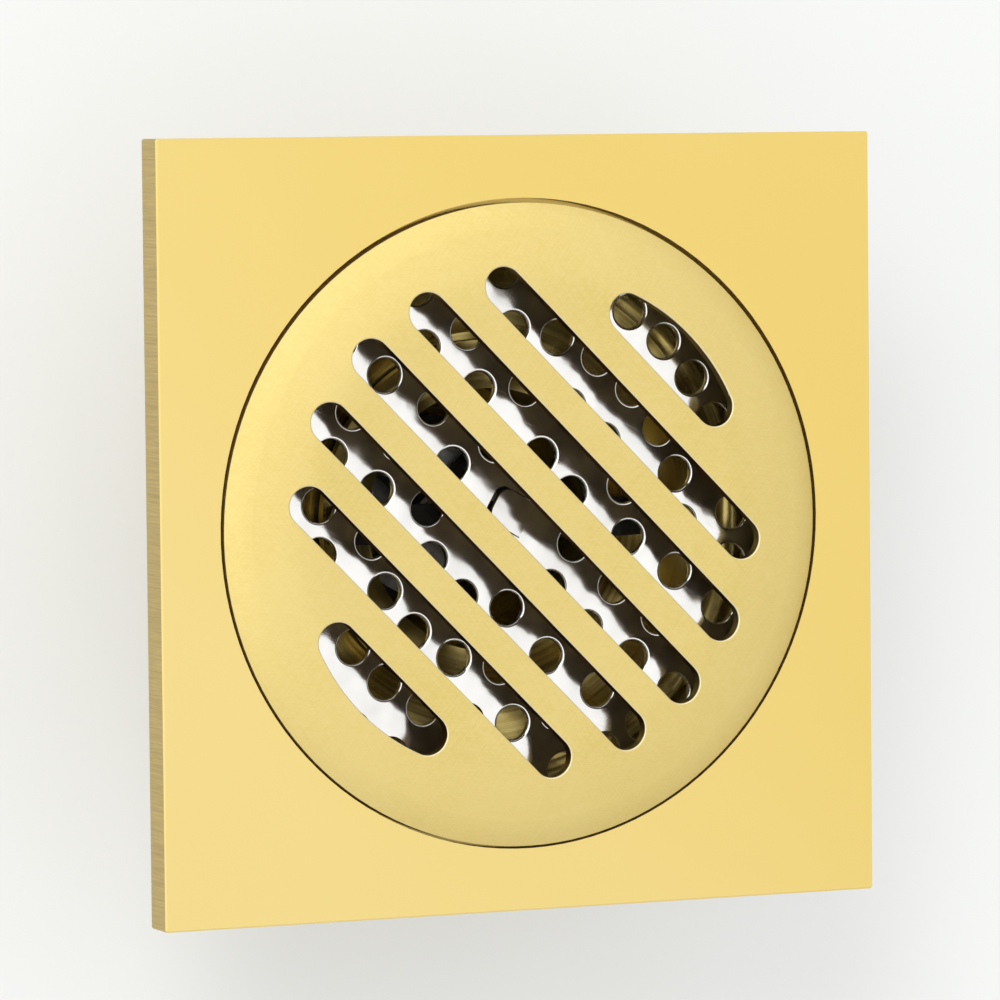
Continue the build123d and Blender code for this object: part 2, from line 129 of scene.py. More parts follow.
def start_group(name, inputs, outputs):
    """New shader node group with named sockets: its tree, its input sockets and a way to end it."""
    tree = bpy.data.node_groups.new(name, "ShaderNodeTree")
    for label, value in inputs.items():
        kind = "NodeSocketVector" if isinstance(value, tuple) else "NodeSocketFloat"
        tree.interface.new_socket(label, in_out="INPUT", socket_type=kind).default_value = value
    for label in outputs:
        tree.interface.new_socket(label, in_out="OUTPUT", socket_type="NodeSocketFloat")
    given = tree.nodes.new("NodeGroupInput").outputs
    return tree, given, lambda results: add(tree, "NodeGroupOutput", results)


def effect(tree, group, inputs):
    """Places a shader node group in a finish."""
    return add(tree, "ShaderNodeGroup", inputs, node_tree=group).outputs


def relief(tree, surface, height, depth, normal=None):
    """Fine relief of a real depth in metres on a shader."""
    inputs = {"Strength": 1.0, "Distance": depth, "Height": height}
    if normal is not None:
        inputs["Normal"] = normal
    bump = add(tree, "ShaderNodeBump", inputs).outputs[0]
    tree.links.new(bump, surface.inputs["Normal"])
    return bump


print("node helpers are ready")

# %% [markdown]
# Four effects turn up in several finishes, so each is a node group of its own. Strokes are the marks of
# abrasive cloth: noise stretched along one direction. Turning marks are the rings a lathe tool leaves, noise
# that depends on the distance from the axis. Clouds are slow changes of colour and polish, and pits are the
# small hollows of sand casting and of moulded skins.

# %% Strokes of abrasive cloth
def make_strokes():
    sizes = {"Place": (0, 0, 0), "Turn": 0.0, "Stretch": (1, 1, 1)}
    tree, given, finish = start_group("strokes", sizes, ["Marks"])
    turn = {"Vector": given["Place"], "Angle": given["Turn"]}
    turned = add(tree, "ShaderNodeVectorRotate", turn, rotation_type="Z_AXIS").outputs[0]
    drawn = sums(tree, "MULTIPLY", turned, given["Stretch"], kind="ShaderNodeVectorMath")
    look = {"Vector": drawn, "Scale": 1.0, "Detail": 3.0, "Roughness": 0.6}
    noise = add(tree, "ShaderNodeTexNoise", look)
    finish({"Marks": spread(tree, noise.outputs[0], 0.3, 0.7, smooth=False)})
    return tree


strokes = make_strokes()
print("strokes take", [item.name for item in strokes.interface.items_tree])

# %% Turning marks
def make_turning_marks():
    sizes = {"Place": (0, 0, 0), "Marks per metre": 4000.0, "Wander": 0.3}
    tree, given, finish = start_group("turning_marks", sizes, ["Rings"])
    parts = add(tree, "ShaderNodeSeparateXYZ", {0: given["Place"]}).outputs
    away = away_from_axis(tree, given["Place"])
    around = sums(tree, "ARCTAN2", parts[1], parts[0])
    ring = add(tree, "ShaderNodeCombineXYZ", {
        0: sums(tree, "MULTIPLY", away, given["Marks per metre"]),
        1: sums(tree, "MULTIPLY", parts[2], given["Marks per metre"]),
        2: sums(tree, "MULTIPLY", sums(tree, "ABSOLUTE", around), given["Wander"]),
    })
    noise = add(tree, "ShaderNodeTexNoise", {"Vector": ring.outputs[0], "Scale": 1.0, "Detail": 2.0})
    finish({"Rings": noise.outputs[0]})
    return tree


turning_marks = make_turning_marks()
print("turning marks take", [item.name for item in turning_marks.interface.items_tree])

# %% Clouds and pits
def make_clouds():
    sizes = {"Place": (0, 0, 0), "Per metre": 40.0, "Low": 0.35, "High": 0.65}
    tree, given, finish = start_group("clouds", sizes, ["Cloud"])
    look = {"Vector": given["Place"], "Scale": given["Per metre"], "Detail": 4.0}
    noise = add(tree, "ShaderNodeTexNoise", look)
    finish({"Cloud": spread(tree, noise.outputs[0], given["Low"], given["High"])})
    return tree


def make_pits():
    sizes = {"Place": (0, 0, 0), "Per metre": 2500.0, "Depth": 1.0}
    tree, given, finish = start_group("pits", sizes, ["Height"])
    spacing = {"Vector": given["Place"], "Scale": given["Per metre"]}
    grain = add(tree, "ShaderNodeTexNoise", spacing | {"Detail": 3.0})
    cells = add(tree, "ShaderNodeTexVoronoi", spacing, feature="SMOOTH_F1")
    hollow = sums(tree, "MULTIPLY", spread(tree, cells.outputs["Distance"], 0.0, 0.6), given["Depth"])
    finish({"Height": sums(tree, "ADD", hollow, grain.outputs[0])})
    return tree


clouds, pits = make_clouds(), make_pits()


def cloud(tree, place, per_metre, low=0.3, high=0.7):
    """Slow change over a piece, from 0 to 1, with about this many patches to the metre."""
    sizes = {"Place": place, "Per metre": per_metre, "Low": low, "High": high}
    return effect(tree, clouds, sizes)["Cloud"]


def rub(tree, place, turn, stretch):
    """Marks of strokes turned by an angle; stretch is how many to the metre along x, y and z."""
    return effect(tree, strokes, {"Place": place, "Turn": turn, "Stretch": stretch})["Marks"]


print("clouds and pits are ready")

# %% [markdown]
# The face plate is solid brass, ground flat and then lacquered to an even satin. Its face shows only a breath
# of grain and a slow drift of colour, paler towards the corner at the lowest x and y. The four sides are left
# as sawn and filed, duller, with marks across their thickness, and their colour is painted darker as painted
# shade. One material does both: a mask from the surface's own direction picks the sides.

# %% Satin brass of the face plate
def satin_brass():
    material, tree, surface, place = start_finish("satin_brass_finish", Metallic=1.0)
    side = spread(tree, sums(tree, "ABSOLUTE", facing_up(tree)), 0.75, 0.35)
    parts = add(tree, "ShaderNodeSeparateXYZ", {0: place}).outputs
    corner = sums(tree, "ADD", parts[0], parts[1])
    drift = cloud(tree, place, 22.0)
    pale = sums(tree, "MULTIPLY_ADD", drift, 0.12, spread(tree, corner, 0.06, -0.08, 0.0, 0.9))
    face = blend_colours(tree, pale, (0.885, 0.66, 0.195, 1), (0.905, 0.71, 0.275, 1))
    grain = rub(tree, place, 0.06, (9000, 260, 1))
    saw = rub(tree, place, 0.0, (5200, 5200, 130))
    # Painted shade: the sides' sawn brass colours are painted darker than the face.
    sawn_and_painted_shade = blend_colours(tree, saw, (0.45, 0.335, 0.13, 1), (0.63, 0.485, 0.19, 1))
    fill(tree, surface, {"Base Color": blend_colours(tree, side, face, sawn_and_painted_shade)})
    polish = sums(tree, "MULTIPLY_ADD", side, 0.12, sums(tree, "MULTIPLY_ADD", grain, 0.05, 0.34))
    fill(tree, surface, {"Roughness": polish})
    marks = sums(tree, "MULTIPLY_ADD", grain, 0.05, sums(tree, "MULTIPLY", saw, side))
    relief(tree, surface, marks, 0.02 * MM)
    return material


print("made", satin_brass().name)

# %% [markdown]
# The grate is brushed by hand before lacquering: short strokes in every direction, fine enough that only their
# sum shows. Three runs of the stroke effect, each turned differently, add up to that. Its border is painted a
# little paler all round as a painted sheen, and the rounded edges of its slots are painted pale as a painted
# highlight. The walls inside the slots are painted near black as painted shade, the wall round the rim keeps a
# plain brass colour, and the underside is dull, tarnished and painted darker as painted shade.

# %% Brushed brass of the grate
def hidden_faces(tree, place, facing, away):
    """Colour of what the pad doesn't reach: tarnished and painted darker as painted shade below, painted near
    black as painted shade inside the slots, plain brass round the rim.
    """
    patches = cloud(tree, place, 240.0, 0.3, 0.75)
    # Underside: tarnished brass, painted darker still as painted shade.
    tarnish_and_painted_shade = blend_colours(tree, patches, (0.12, 0.088, 0.048, 1), (0.21, 0.16, 0.08, 1))
    in_slots = spread(tree, away, 39 * MM, 37 * MM)
    # Walls inside the slots are painted near black as painted shade; the rim's wall keeps a plain brass colour.
    walls = blend_colours(tree, in_slots, (0.78, 0.62, 0.24, 1), (0.03, 0.018, 0.006, 1))
    upright = sums(tree, "MULTIPLY", spread(tree, facing, -0.8, -0.3), 0.85)
    return blend_colours(tree, upright, tarnish_and_painted_shade, walls)


def brushed_brass():
    tint = (0.50, 0.38, 0.18, 1)
    material, tree, surface, place = start_finish("brushed_brass_finish", Metallic=1.0, Specular_Tint=tint)
    facing, away = facing_up(tree), away_from_axis(tree, place)
    runs = [(0.9, (420, 6500, 300)), (2.3, (500, 5200, 300)), (0.1, (380, 7400, 300))]
    marks = [rub(tree, place, turn, stretch) for turn, stretch in runs]
    total = sums(tree, "ADD", sums(tree, "ADD", marks[0], marks[1]), marks[2])
    brushed = sums(tree, "MULTIPLY", total, 1 / 3)
    colour = blend_colours(tree, cloud(tree, place, 60.0), (0.765, 0.595, 0.19, 1), (0.80, 0.63, 0.225, 1))
    colour = blend_colours(tree, spread(tree, brushed, 0.3, 0.7, 0.0, 0.5), colour, (0.86, 0.69, 0.28, 1))
    hidden = spread(tree, facing, 0.25, 0.05)
    colour = blend_colours(tree, hidden, colour, hidden_faces(tree, place, facing, away))
    # Painted sheen: the border is painted paler all round.
    border = sums(tree, "MULTIPLY", spread(tree, away, 30 * MM, 34 * MM), 0.22)
    colour = blend_colours(tree, border, colour, (0.93, 0.74, 0.30, 1))
    tilted = sums(tree, "MULTIPLY", spread(tree, facing, 0.96, 0.85), spread(tree, facing, 0.25, 0.45))
    # Painted highlight: the rounded edges of the slots are painted pale cream.
    slot_edge_painted_highlight = sums(tree, "MULTIPLY", tilted, spread(tree, away, 35 * MM, 34.4 * MM))
    colour = blend_colours(tree, slot_edge_painted_highlight, colour, (0.98, 0.88, 0.58, 1))
    polish = spread(tree, brushed, 0.2, 0.8, 0.40, 0.30, smooth=False)
    fill(tree, surface, {"Base Color": colour, "Roughness": sums(tree, "MULTIPLY_ADD", hidden, 0.2, polish)})
    relief(tree, surface, brushed, 0.008 * MM)
    return material


print("made", brushed_brass().name)

# %% [markdown]
# The strainer is thin stainless sheet, polished before it is punched. Punching leaves it faintly wavy, so what
# it mirrors bends and swims; a slow noise in the relief does that. A few hairline scratches and a little haze
# keep it from looking like a silvered mirror.

# %% Polished steel of the strainer
def polished_steel():
    material, tree, surface, place = start_finish("polished_steel_finish", Metallic=1.0)
    scratches = spread(tree, rub(tree, place, 0.5, (150, 9000, 150)), 0.78, 0.95)
    haze = cloud(tree, place, 120.0, 0.35, 0.7)
    colour = blend_colours(tree, haze, (0.985, 0.965, 0.925, 1), (0.905, 0.885, 0.845, 1))
    polish = sums(tree, "MULTIPLY_ADD", scratches, 0.06, sums(tree, "MULTIPLY_ADD", haze, 0.05, 0.10))
    fill(tree, surface, {"Base Color": colour, "Roughness": polish})
    swell = add(tree, "ShaderNodeTexNoise", {"Vector": place, "Scale": 120.0, "Detail": 1.5}).outputs[0]
    wavy = relief(tree, surface, swell, 0.7 * MM)
    relief(tree, surface, scratches, 0.0005 * MM, wavy)
    return material


print("made", polished_steel().name)

# %% [markdown]
# The body is sand cast, and its tube and the trap's housing are turned from bar. All are plain brass that has
# dulled in the air: pitted where it was cast, ringed where the lathe cut it. The faces that look up were cut
# last, with a fine feed, so the holes above show on them as soft bright patches. They are also painted darker,
# as painted shade inside the drain.

# %% Cast brass of the body, the tube and the trap
def cast_brass():
    material, tree, surface, place = start_finish("cast_brass_finish", Metallic=1.0)
    feed = {"Place": place, "Marks per metre": 2600.0, "Wander": 0.4}
    rings = effect(tree, turning_marks, feed)["Rings"]
    drift = cloud(tree, place, 110.0, 0.4, 0.62)
    sand = effect(tree, pits, {"Place": place, "Per metre": 1600.0, "Depth": 0.6})["Height"]
    smooth = spread(tree, facing_up(tree), 0.1, 0.5)
    # Painted shade: faces that look up are painted darker, on top of darker patches at random.
    aged_and_painted_shade = sums(tree, "MULTIPLY", drift, spread(tree, smooth, 0.0, 1.0, 0.25, 0.55))
    aged_and_painted_shade = sums(tree, "MULTIPLY_ADD", smooth, 0.45, aged_and_painted_shade)
    colour = blend_colours(tree, aged_and_painted_shade, (0.72, 0.56, 0.19, 1), (0.22, 0.158, 0.044, 1))
    colour = blend_colours(tree, spread(tree, rings, 0.35, 0.65, 0.0, 0.35), colour, (0.78, 0.63, 0.26, 1))
    dull = spread(tree, sums(tree, "ADD", drift, rings), 0.3, 1.6, 0.30, 0.52, smooth=False)
    fine = spread(tree, drift, 0.0, 1.0, 0.22, 0.34, smooth=False)
    polish = add(tree, "ShaderNodeMix", {0: smooth, 2: dull, 3: fine}).outputs[0]
    fill(tree, surface, {"Base Color": colour, "Roughness": polish})
    rough = sums(tree, "SUBTRACT", 1.0, sums(tree, "MULTIPLY", smooth, 0.93))
    cut = relief(tree, surface, sums(tree, "MULTIPLY", rings, rough), 0.03 * MM)
    relief(tree, surface, sums(tree, "MULTIPLY", sand, rough), 0.02 * MM, cut)
    return material


print("made", cast_brass().name)

# %% [markdown]
# Screws, washers, stem, clip and spring are plain stainless bar and wire, bright but not polished, with the
# fine rings of turning and drawing.

# %% Plain steel of the small parts
def screw_steel():
    material, tree, surface, place = start_finish("screw_steel_finish", Metallic=1.0)
    drawn = rub(tree, place, 0.3, (6000, 6000, 900))
    drift = cloud(tree, place, 300.0)
    colour = blend_colours(tree, drift, (0.62, 0.61, 0.59, 1), (0.50, 0.49, 0.47, 1))
    polish = spread(tree, drawn, 0.1, 0.9, 0.26, 0.42, smooth=False)
    fill(tree, surface, {"Base Color": colour, "Roughness": polish})
    relief(tree, surface, drawn, 0.008 * MM)
    return material


print("made", screw_steel().name)

# %% [markdown]
# Rubber, silicone and moulded plastic are not metals: their colour is in the body, and their shine is a thin
# surface one. Rubber is nearly black and dusty with talc, silicone is cloudy and pale, and the trap's plastic
# is charcoal with the fine leathery skin of its mould.

# %% Rubber, silicone and plastic
def soft_finish(name, dark, light, grain, skin_depth, dull, shiny, **plain):
    """A finish from two colours, its grain to the metre, and its dullest and shiniest roughness."""
    material, tree, surface, place = start_finish(name, **plain)
    skin = effect(tree, pits, {"Place": place, "Per metre": grain, "Depth": 0.8})["Height"]
    drift = cloud(tree, place, 130.0, 0.3, 0.75)
    rubbed = spread(tree, skin, 0.6, 1.3)
    worn = sums(tree, "MULTIPLY", sums(tree, "ADD", drift, rubbed), 0.5)
    colour = blend_colours(tree, worn, (*dark, 1), (*light, 1))
    polish = spread(tree, drift, 0.0, 1.0, dull, shiny, smooth=False)
    fill(tree, surface, {"Base Color": colour, "Roughness": polish})
    relief(tree, surface, skin, skin_depth)
    return material


def black_rubber():
    dark, light = (0.014, 0.014, 0.015), (0.045, 0.044, 0.042)
    return soft_finish("black_rubber_finish", dark, light, 1800.0, 0.02 * MM, 0.72, 0.5)


def silicone():
    dark, light = (0.50, 0.48, 0.44), (0.66, 0.64, 0.60)
    return soft_finish("silicone_finish", dark, light, 1200.0, 0.01 * MM, 0.5, 0.34)


def grey_plastic():
    dark, light = (0.011, 0.0095, 0.007), (0.032, 0.028, 0.021)
    depth = 0.012 * MM
    return soft_finish("grey_plastic_finish", dark, light, 3200.0, depth, 0.6, 0.44, Specular_IOR_Level=0.22)


finishes = {
    "satin_brass": satin_brass(),
    "brushed_brass": brushed_brass(),
    "polished_steel": polished_steel(),
    "cast_brass": cast_brass(),
    "screw_steel": screw_steel(),
    "black_rubber": black_rubber(),
    "silicone": silicone(),
    "grey_plastic": grey_plastic(),
}
print("finishes:", ", ".join(finishes))

# %% [markdown]
# The ready made parts keep their shape and only change their skin. Each one's slot is named after its stock,
# so the finish is looked up by that name.

# %% Finish the ready made parts
for name, part in nodes.items():
    for slot in part.material_slots:
        stock = slot.material.name.split(".")[0]
        slot.material = finishes[stock]
        print(name, "is finished as", stock)

# %% [markdown]
# The punched strainer, the screws, the washers and the spring all repeat something: a hole, a screw, a turn
# of wire. Geometry Nodes suit that, because one tree with named sizes does the repeating, and a changed size
# needs no new modelling. Two helpers do the rest. One starts a tree, and the other runs it on a base mesh and
# keeps the result as a plain mesh, since instances and live modifiers don't travel to other programs.

# %% Helpers for shape trees
SOCKETS = {float: "NodeSocketFloat", int: "NodeSocketInt", tuple: "NodeSocketVector"}


def start_shape(name, inputs):
    """New geometry tree with named sizes: the tree, its input sockets and a way to end it."""
    tree = bpy.data.node_groups.new(name, "GeometryNodeTree")
    tree.interface.new_socket("Geometry", in_out="INPUT", socket_type="NodeSocketGeometry")
    for label, value in inputs.items():
        socket = tree.interface.new_socket(label, in_out="INPUT", socket_type=SOCKETS[type(value)])
        socket.default_value = value
    tree.interface.new_socket("Finish", in_out="INPUT", socket_type="NodeSocketMaterial")
    tree.interface.new_socket("Geometry", in_out="OUTPUT", socket_type="NodeSocketGeometry")
    given = tree.nodes.new("NodeGroupInput").outputs

    def finish(shape):
        """Ends the tree: instances made real, near points joined, and the finish on every face."""
        real = add(tree, "GeometryNodeRealizeInstances", {0: shape}).outputs[0]
        near = {"Geometry": real, "Distance": 0.001 * MM}
        joined = add(tree, "GeometryNodeMergeByDistance", near).outputs[0]
        skin = {"Geometry": joined, "Material": given["Finish"]}
        add(tree, "NodeGroupOutput", {0: add(tree, "GeometryNodeSetMaterial", skin).outputs[0]})
    return tree, given, finish


def inputs_of(tree):
    """Names of a tree's inputs."""
    return [item.name for item in tree.interface.items_tree if item.in_out == "INPUT"]


def join(tree, *shapes):
    """Puts several shapes together."""
    node = tree.nodes.new("GeometryNodeJoinGeometry")
    for shape in shapes:
        tree.links.new(shape, node.inputs[0])
    return node.outputs[0]


def make_piece(name, base, tree, values):
    """Runs a tree on a base mesh with the given inputs, and keeps the result as a plain piece."""
    worker = bpy.data.objects.new(name + "_worker", base)
    bpy.context.scene.collection.objects.link(worker)
    modifier = worker.modifiers.new(name, "NODES")
    modifier.node_group = tree
    for item in tree.interface.items_tree:
        if item.in_out == "INPUT" and item.name in values:
            modifier[item.identifier] = values[item.name]
    bpy.context.view_layer.update()
    result = worker.evaluated_get(bpy.context.evaluated_depsgraph_get())
    mesh = bpy.data.meshes.new_from_object(result)
    mesh.name = name
    bpy.data.objects.remove(worker)
    bpy.data.meshes.remove(base)
    piece = bpy.data.objects.new(name, mesh)
    bpy.context.scene.collection.objects.link(piece)
    print(name, "has", len(mesh.vertices), "points and", len(mesh.polygons), "faces")
    return piece


# %% [markdown]
# Every one of these pieces has something turned about an axis: the strainer's bent rim, the rounded edge of
# a punched hole, a screw, a washer. The outline is a short list of radii and heights, with its round
# stretches worked out as arcs, and one function carries it round.

# %% Turned shapes
def arc(centre, radius, start, end, steps):
    """Points of an arc in an outline, as (radius, height); angles in degrees."""
    turns = [math.radians(start + (end - start) * step / steps) for step in range(steps + 1)]
    return [(centre[0] + radius * math.cos(t), centre[1] + radius * math.sin(t)) for t in turns]


def turn_outline(shape, outline, sides, closed=False):
    """Carries an outline round the z axis. Run upwards on the outer side, its faces point outwards."""
    rows = []
    for away, height in outline:
        count = 1 if away == 0 else sides
        angles = [2 * math.pi * side / sides for side in range(count)]
        rows.append([shape.verts.new((away * math.cos(a), away * math.sin(a), height)) for a in angles])
    following = rows[1:] + rows[:1] if closed else rows[1:]
    for row, after in zip(rows, following):
        for side in range(sides):
            ahead = (side + 1) % sides
            lower = [row[side % len(row)], row[ahead % len(row)]]
            upper = [after[ahead % len(after)], after[side % len(after)]]
            face = shape.faces.new(list(dict.fromkeys(lower + upper)))
            face.smooth = True


def as_mesh(name, shape):
    """Turns a finished bmesh into a mesh."""
    mesh = bpy.data.meshes.new(name)
    shape.to_mesh(mesh)
    shape.free()
    return mesh


print("turned shapes are ready")

# %% [markdown]
# The strainer is a sheet of stainless steel, punched with rings of holes and bent down round its edge. The
# punch drags the sheet's skin down with it, so each hole has a soft rounded edge above and a sharp one below.
# That roll catches the light as a thin bright line, and it is why the holes are modelled and not painted on.
# A small tab is cut on three sides at the middle and bent up a little, to lift the strainer by.

# %% Strainer sizes
strainer_low, strainer_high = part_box("strainer")
sheet_thickness = 0.8 * MM
strainer_height = 2.6 * MM
bend_radius = 1.4 * MM
hole_radius = 2.2 * MM
hole_roll = 0.36 * MM
ring_counts = (10, 17, 25, 33)
ring_starts = (21.6, 14.8, 13.7, 1.3)
first_ring = 10.65 * MM
ring_step = 7.48 * MM
tab_length = 5.25 * MM
tab_width = 4.8 * MM
tab_slit = 0.7 * MM
tab_gap = 0.15 * MM
tab_root = 3.76 * MM
tab_root_angle = 8.7
tab_angle = 150.0
tab_lift = 3.0
rim_sides = 128
hole_sides = 32
strainer_radius = (strainer_high.x - strainer_low.x) / 2
sheet_radius = strainer_radius - bend_radius
strainer_middle = (strainer_low + strainer_high) / 2
sheet_z = strainer_low.z + strainer_height
print("strainer radius", round(strainer_radius / MM, 2), "mm, sheet at", round(sheet_z / MM, 2), "mm")

# %% Bent rim, tab and window outline
def tab_outline(length, width, steps=8):
    """Outline of the tab along +X from its root at the origin, its two far corners round."""
    corner = tab_width / 3
    far, high = length - corner, width / 2 - corner
    points = [(0, -width / 2), *arc((far, -high), corner, -90, 0, steps)]
    points += arc((far, high), corner, 0, 90, steps)
    return points + [(0, width / 2)]


def strainer_base():
    """Bent rim and lifted tab, with the tab's window outlined as bare edges; the sheet's top is z = 0."""
    shape = bmesh.new()
    middle = (sheet_radius, -bend_radius)
    inner_bend = bend_radius - sheet_thickness
    wall = strainer_radius - sheet_thickness
    skirt = [(wall, -strainer_height), (strainer_radius, -strainer_height)]
    rim = arc(middle, inner_bend, 90, 0, 5) + skirt + arc(middle, bend_radius, 0, 90, 8)
    turn_outline(shape, rim, rim_sides)
    towards = math.radians(tab_root_angle)
    root = tab_root * Vector((math.cos(towards), math.sin(towards), 0))
    place = Matrix.Translation(root) @ Matrix.Rotation(math.radians(tab_angle), 4, "Z")
    lift = place @ Matrix.Rotation(-math.radians(tab_lift), 4, "Y")
    outline = tab_outline(tab_length, tab_width)
    top = [shape.verts.new(lift @ Vector((x, y, 0))) for x, y in outline]
    under = [shape.verts.new(lift @ Vector((x, y, -sheet_thickness))) for x, y in outline]
    shape.faces.new(top)
    shape.faces.new(under[::-1])
    for step in range(len(top)):
        shape.faces.new([top[step - 1], under[step - 1], under[step], top[step]])
    window = tab_outline(tab_length + tab_slit, tab_width + 2 * tab_gap)
    edge = [shape.verts.new(place @ Vector((x, y, 0))) for x, y in window]
    for step in range(len(edge)):
        shape.edges.new([edge[step - 1], edge[step]])
    return as_mesh("strainer_base", shape)


def hole_collar():
    """Rounded edge and wall of one punched hole."""
    shape = bmesh.new()
    roll = arc((hole_radius + hole_roll, -hole_roll), hole_roll, 90, 180, 4)
    turn_outline(shape, roll + [(hole_radius, -sheet_thickness)], hole_sides)
    return bpy.data.objects.new("hole_collar", as_mesh("hole_collar", shape))


# %% Tree that punches the sheet
def ring_points(tree, given):
    """One point for each hole, ring by ring."""
    rings = []
    for row in range(len(ring_counts)):
        away = sums(tree, "MULTIPLY_ADD", given["Ring step"], float(row), given["First ring"])
        ring = {"Vertices": given[f"Holes in ring {row}"], "Radius": away}
        circle = add(tree, "GeometryNodeMeshCircle", ring).outputs[0]
        turn = add(tree, "ShaderNodeCombineXYZ", {2: given[f"Start of ring {row}"]}).outputs[0]
        turn = add(tree, "FunctionNodeEulerToRotation", {0: turn}).outputs[0]
        turned = {"Geometry": circle, "Rotation": turn}
        rings.append(add(tree, "GeometryNodeTransform", turned).outputs[0])
    return join(tree, *rings)


def pierced_face(tree, points, hole, radius, window, sides):
    """A flat round face with holes of one radius at the points, and the window."""
    edge = add(tree, "GeometryNodeMeshCircle", {"Vertices": rim_sides, "Radius": radius}).outputs[0]
    round_hole = add(tree, "GeometryNodeMeshCircle", {"Vertices": sides, "Radius": hole}).outputs[0]
    holes = add(tree, "GeometryNodeInstanceOnPoints", {"Points": points, "Instance": round_hole}).outputs[0]
    holes = add(tree, "GeometryNodeRealizeInstances", {0: holes}).outputs[0]
    curves = add(tree, "GeometryNodeMeshToCurve", {"Mesh": join(tree, edge, holes)}).outputs[0]
    return add(tree, "GeometryNodeFillCurve", {"Curve": join(tree, curves, window)}).outputs[0]


def make_punching():
    sizes = {"Flat radius": 0.036, "Hole radius": 0.0022, "Roll": 0.0003, "Thickness": 0.0008}
    sizes |= {"First ring": 0.01, "Ring step": 0.007, "Sides": hole_sides, "Middle": (0.0, 0.0, 0.0)}
    sizes |= {f"Holes in ring {row}": 8 for row in range(len(ring_counts))}
    sizes |= {f"Start of ring {row}": 0.0 for row in range(len(ring_counts))}
    tree, given, finish = start_shape("punched_sheet", sizes)
    tree.interface.new_socket("Collar", in_out="INPUT", socket_type="NodeSocketObject")
    points = ring_points(tree, given)
    faces = add(tree, "GeometryNodeInputMeshEdgeNeighbors").outputs[0]
    none = {"A": faces, "B": 0}
    bare = add(tree, "FunctionNodeCompare", none, data_type="INT", operation="EQUAL").outputs[0]
    window = add(tree, "GeometryNodeMeshToCurve", {"Mesh": given["Geometry"], "Selection": bare}).outputs[0]
    wide = sums(tree, "ADD", given["Hole radius"], given["Roll"])
    top = pierced_face(tree, points, wide, given["Flat radius"], window, given["Sides"])
    narrow = given["Hole radius"]
    under = pierced_face(tree, points, narrow, given["Flat radius"], window, given["Sides"])
    under = add(tree, "GeometryNodeFlipFaces", {"Mesh": under}).outputs[0]
    down = sums(tree, "MULTIPLY", given["Thickness"], -1.0)
    drop = add(tree, "ShaderNodeCombineXYZ", {2: down}).outputs[0]
    under = add(tree, "GeometryNodeTransform", {"Geometry": under, "Translation": drop}).outputs[0]
    flat = {"Geometry": join(tree, top, under), "Shade Smooth": False}
    flat = add(tree, "GeometryNodeSetShadeSmooth", flat).outputs[0]
    walls = {"Mesh": given["Geometry"], "Selection": bare, "Offset": drop, "Offset Scale": 1.0}
    walls = add(tree, "GeometryNodeExtrudeMesh", walls, mode="EDGES").outputs[0]
    collar = add(tree, "GeometryNodeObjectInfo", {"Object": given["Collar"]}).outputs["Geometry"]
    collars = add(tree, "GeometryNodeInstanceOnPoints", {"Points": points, "Instance": collar}).outputs[0]
    whole = join(tree, flat, walls, collars)
    seated = {"Geometry": whole, "Translation": given["Middle"]}
    finish(add(tree, "GeometryNodeTransform", seated).outputs[0])
    return tree


punching = make_punching()
print("the punching takes", inputs_of(punching))

# %% Punch the strainer
collar = hole_collar()
strainer_values = {
    "Flat radius": sheet_radius, "Hole radius": hole_radius, "Roll": hole_roll,
    "Thickness": sheet_thickness, "First ring": first_ring, "Ring step": ring_step,
    "Middle": (strainer_middle.x, strainer_middle.y, sheet_z),
    "Finish": finishes["polished_steel"], "Collar": collar,
}
for row, (count, start) in enumerate(zip(ring_counts, ring_starts)):
    strainer_values[f"Holes in ring {row}"] = count
    strainer_values[f"Start of ring {row}"] = math.radians(start)
strainer = make_piece("punched_strainer", strainer_base(), punching, strainer_values)
bpy.data.objects.remove(collar)
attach(strainer, "strainer")
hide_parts("strainer")

# %% [markdown]
# Springs and screw threads are the same shape: a wire on a helix. A spring has closed ends, where the last
# turns lie on each other, so the helix rises slowly at both ends and faster between. A thread rises evenly.
# One tree makes both, with the share of its rise that is even as an input.

# %% Tree for coils
def make_coil():
    sizes = {"Radius": 0.002, "Wire": 0.0003, "Bottom": 0.0, "Rise": 0.01}
    sizes |= {"Turns": 6.0, "Even": 1.0, "Sides": 10}
    tree, given, finish = start_shape("coil", sizes)
    spiral = {"Resolution": 32, "Rotations": given["Turns"], "Height": 0.0}
    spiral |= {"Start Radius": given["Radius"], "End Radius": given["Radius"]}
    line = add(tree, "GeometryNodeCurveSpiral", spiral).outputs[0]
    along = add(tree, "GeometryNodeSplineParameter").outputs["Factor"]
    quick = spread(tree, along, 0.08, 0.92)
    share = add(tree, "ShaderNodeMix", {0: given["Even"], 2: quick, 3: along}).outputs[0]
    height = sums(tree, "MULTIPLY_ADD", share, given["Rise"], given["Bottom"])
    up = add(tree, "ShaderNodeCombineXYZ", {2: height}).outputs[0]
    line = add(tree, "GeometryNodeSetPosition", {"Geometry": line, "Offset": up}).outputs[0]
    section = {"Resolution": given["Sides"], "Radius": given["Wire"]}
    wire = add(tree, "GeometryNodeCurvePrimitiveCircle", section)
    tube = {"Curve": line, "Profile Curve": wire.outputs[0], "Fill Caps": True}
    finish(join(tree, add(tree, "GeometryNodeCurveToMesh", tube).outputs[0], given["Geometry"]))
    return tree


coil = make_coil()
print("the coil takes", inputs_of(coil))

# %% [markdown]
# The valve's spring sits round the stem, between the guide's hub and a cap on the stem. When the valve opens,
# the cap moves down and the spring gets shorter, its lower end staying where it is. Here the spring is joined
# to the core and moves with it whole.

